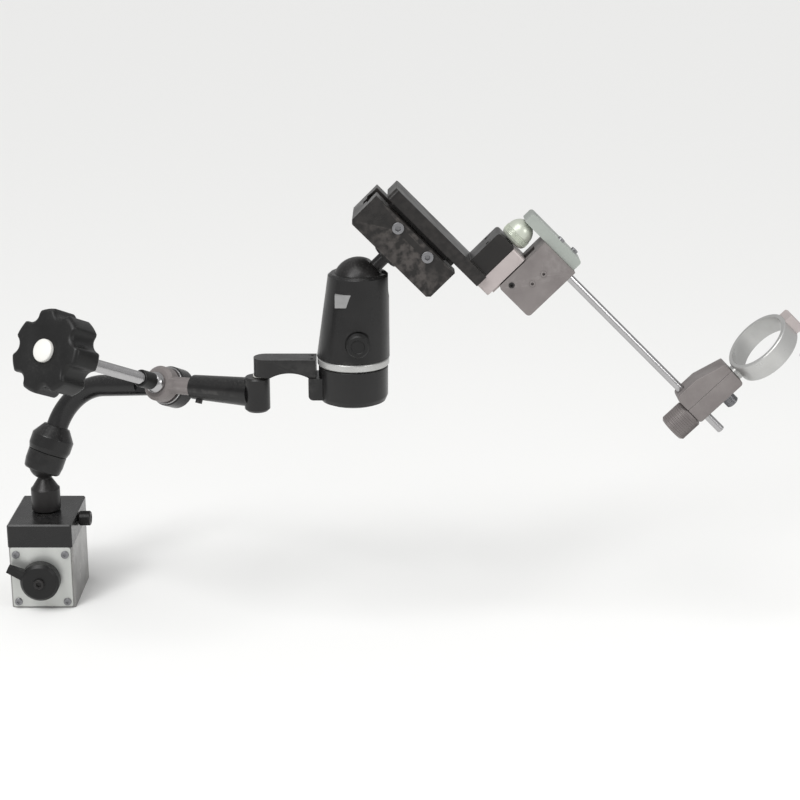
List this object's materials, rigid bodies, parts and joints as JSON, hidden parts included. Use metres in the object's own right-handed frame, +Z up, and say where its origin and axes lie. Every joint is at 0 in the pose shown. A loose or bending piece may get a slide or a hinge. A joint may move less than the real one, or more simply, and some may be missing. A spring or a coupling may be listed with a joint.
{
  "type": "airbrush holder stand",
  "caption": "Magnetic base with a jointed arm, a ball head with a quick-release clamp, and a rod holder that ends in a ring for a hand tool.",
  "frame": {"origin": "middle of the magnetic base's foot, on the surface it holds to", "axes": "+Z up out of the foot, -Y towards the switch knob, +X towards the side that the arm reaches over"},
  "size_m": [0.5167, 0.1694, 0.2966],
  "materials": {
    "ground_steel": "ground, lightly oiled",
    "brass_strip": "milled",
    "satin_plate": "satin",
    "zinc_screw": "zinc plated",
    "black_enamel": "semi-gloss enamel",
    "magnet_black": "sintered",
    "black_plastic": "fine grained",
    "bright_steel": "polished",
    "black_oxide": "black oxide",
    "nylon": "natural",
    "black_anodised": "black anodised",
    "silver_anodised": "satin anodised",
    "dark_grey_anodised": "grey anodised",
    "grey_alloy": "bead blasted",
    "pale_alloy": "clear anodised",
    "dome_alloy": "polished",
    "rail_alloy": "brushed",
    "label_grey": "painted"
  },
  "bodies": {
    "base": {"pole_left": "ground_steel", "pole_right": "ground_steel", "pole_separators": "brass_strip", "front_plate": "satin_plate", "rear_plate": "satin_plate", "plate_screws": "zinc_screw", "base_cap": "black_enamel"},
    "switch": {"magnet_rotor": "magnet_black", "switch_shaft": "bright_steel", "switch_knob": "black_plastic", "switch_screw": "black_oxide"},
    "side_screw": {"side_screw": "black_oxide"},
    "post": {"ball_post": "black_oxide"},
    "seat": {"ball_seat": "nylon"},
    "lower_arm": {"socket_body": "black_anodised", "lower_arm": "black_enamel", "elbow_washer": "bright_steel", "elbow_nut": "black_oxide"},
    "collar": {"socket_collar": "black_anodised"},
    "knob": {"star_knob": "black_plastic", "knob_cap": "nylon", "knob_spindle": "bright_steel", "spindle_sleeve": "black_plastic", "thrust_dome": "bright_steel"},
    "upper_arm": {"upper_knuckle": "grey_alloy", "upper_arm_tube": "black_anodised", "knuckle_set_screw": "black_oxide", "end_eye": "black_anodised"},
    "link": {"link_bar": "black_anodised", "pivot_bolt": "black_oxide", "pivot_washer": "nylon", "bar_screws": "black_oxide", "head_base": "black_anodised", "pan_ring": "silver_anodised"},
    "head": {"head_body": "black_anodised", "head_cup": "nylon", "scale_plate": "label_grey"},
    "lock_knob": {"lock_knob": "black_plastic"},
    "stem": {"head_stem": "black_oxide"},
    "clamp": {"clamp_body": "dark_grey_anodised", "guide_screws": "zinc_screw"},
    "jaw": {"clamp_jaw": "dark_grey_anodised"},
    "clamp_knob": {"clamp_knob": "black_plastic"},
    "bracket": {"angle_plate": "dark_grey_anodised", "guide_plate": "pale_alloy", "bracket_screws": "black_oxide", "lift_screw": "bright_steel"},
    "carriage": {"rod_block": "grey_alloy", "cover_strap": "rail_alloy", "strap_screws": "zinc_screw", "gib_screws": "black_oxide"},
    "lift_nut": {"lift_nut": "dome_alloy"},
    "rod": {"holder_rod": "bright_steel"},
    "end_clamp": {"end_clamp_body": "grey_alloy", "end_clamp_cheek": "grey_alloy"},
    "thumb_screw": {"thumb_screw": "grey_alloy"},
    "ring_screw": {"ring_lock_screw": "zinc_screw"},
    "ring": {"ring_band": "silver_anodised", "retainer_block": "pale_alloy", "hook_wire": "bright_steel"}
  },
  "joints": [
    {"name": "switch_turn", "type": "hinge", "parent": "base", "child": "switch", "pos_m": [0, 0, 0.022], "axis": [0, 1, 0], "range_deg": [0, 90]},
    {"name": "side_screw_turn", "type": "hinge", "parent": "base", "child": "side_screw", "pos_m": [0, 0, 0.054], "axis": [1, 0, 0], "range_deg": [-180, 180]},
    {"name": "post_pan", "type": "hinge", "parent": "base", "child": "post", "pos_m": [0, 0, 0.06], "axis": [0, 0, 1], "range_deg": [-170, 170]},
    {"name": "lower_tilt", "type": "hinge", "parent": "post", "child": "seat", "pos_m": [0, 0, 0.093], "axis": [0.8387, -0.5446, 0], "range_deg": [-5, 50]},
    {"name": "lower_twist", "type": "hinge", "parent": "seat", "child": "lower_arm", "pos_m": [0, 0, 0.093], "axis": [0.3361, 0.262, 0.9047], "range_deg": [-170, 170]},
    {"name": "collar_turn", "type": "hinge", "parent": "lower_arm", "child": "collar", "pos_m": [0, 0, 0.093], "axis": [0.3361, 0.262, 0.9047], "range_deg": [-180, 180]},
    {"name": "elbow_fold", "type": "hinge", "parent": "lower_arm", "child": "upper_arm", "pos_m": [0.09186, -0.02673, 0.15503], "axis": [-0.4976, -0.7662, 0.4067], "range_deg": [-15, 90]},
    {"name": "knob_turn", "type": "hinge", "parent": "lower_arm", "child": "knob", "pos_m": [0.09186, -0.02673, 0.15503], "axis": [-0.4976, -0.7662, 0.4067], "continuous": true},
    {"name": "arm_end_swivel", "type": "hinge", "parent": "upper_arm", "child": "link", "pos_m": [0.15374, -0.07444, 0.16558], "axis": [0, 0, 1], "range_deg": [-110, 90]},
    {"name": "head_pan", "type": "hinge", "parent": "link", "child": "head", "pos_m": [0.21114, -0.07444, 0.18943], "axis": [0, 0, 1], "range_deg": [-120, 120]},
    {"name": "lock_knob_turn", "type": "hinge", "parent": "head", "child": "lock_knob", "pos_m": [0.21464, -0.07444, 0.20228], "axis": [0, 1, 0], "range_deg": [-180, 180]},
    {"name": "ball_tilt", "type": "hinge", "parent": "head", "child": "stem", "pos_m": [0.21464, -0.07444, 0.23578], "axis": [0, 1, 0], "range_deg": [-80, 40]},
    {"name": "clamp_swivel", "type": "hinge", "parent": "stem", "child": "clamp", "pos_m": [0.21464, -0.07444, 0.23578], "axis": [0.7071, 0, 0.7071], "continuous": true},
    {"name": "jaw_slide", "type": "slide", "parent": "clamp", "child": "jaw", "axis": [0, 1, 0], "range_m": [0, 0.003]},
    {"name": "clamp_knob_turn", "type": "hinge", "parent": "jaw", "child": "clamp_knob", "pos_m": [0.24426, -0.07444, 0.25126], "axis": [0, 1, 0], "range_deg": [0, 720]},
    {"name": "plate_slide", "type": "slide", "parent": "clamp", "child": "bracket", "axis": [0.7071, 0, -0.7071], "range_m": [-0.01, 0.007]},
    {"name": "lift_slide", "type": "slide", "parent": "bracket", "child": "carriage", "axis": [0.7071, 0, 0.7071], "range_m": [0, 0.005]},
    {"name": "lift_nut_turn", "type": "hinge", "parent": "carriage", "child": "lift_nut", "pos_m": [0.31788, -0.07444, 0.27255], "axis": [0.7071, 0, 0.7071], "range_deg": [0, 1800]},
    {"name": "rod_slide", "type": "slide", "parent": "carriage", "child": "rod", "axis": [0.7071, 0, -0.7071], "range_m": [-0.008, 0.005]},
    {"name": "end_clamp_turn", "type": "hinge", "parent": "rod", "child": "end_clamp", "pos_m": [0.41468, -0.07444, 0.16783], "axis": [0.7071, 0, -0.7071], "continuous": true},
    {"name": "thumb_screw_turn", "type": "hinge", "parent": "end_clamp", "child": "thumb_screw", "pos_m": [0.42168, -0.07444, 0.15319], "axis": [0.7071, 0, 0.7071], "range_deg": [-180, 180]},
    {"name": "ring_screw_turn", "type": "hinge", "parent": "end_clamp", "child": "ring_screw", "pos_m": [0.44269, -0.07444, 0.16401], "axis": [0.7071, 0, -0.7071], "range_deg": [-180, 180]},
    {"name": "ring_turn", "type": "hinge", "parent": "end_clamp", "child": "ring", "pos_m": [0.44764, -0.07444, 0.17816], "axis": [0.7071, 0, 0.7071], "continuous": true}
  ],
  "couplings": [
    {"joint": "clamp_knob_turn", "follows": "jaw_slide", "rad_per_m": 4188.8},
    {"joint": "lift_nut_turn", "follows": "lift_slide", "rad_per_m": 6283.2}
  ]
}
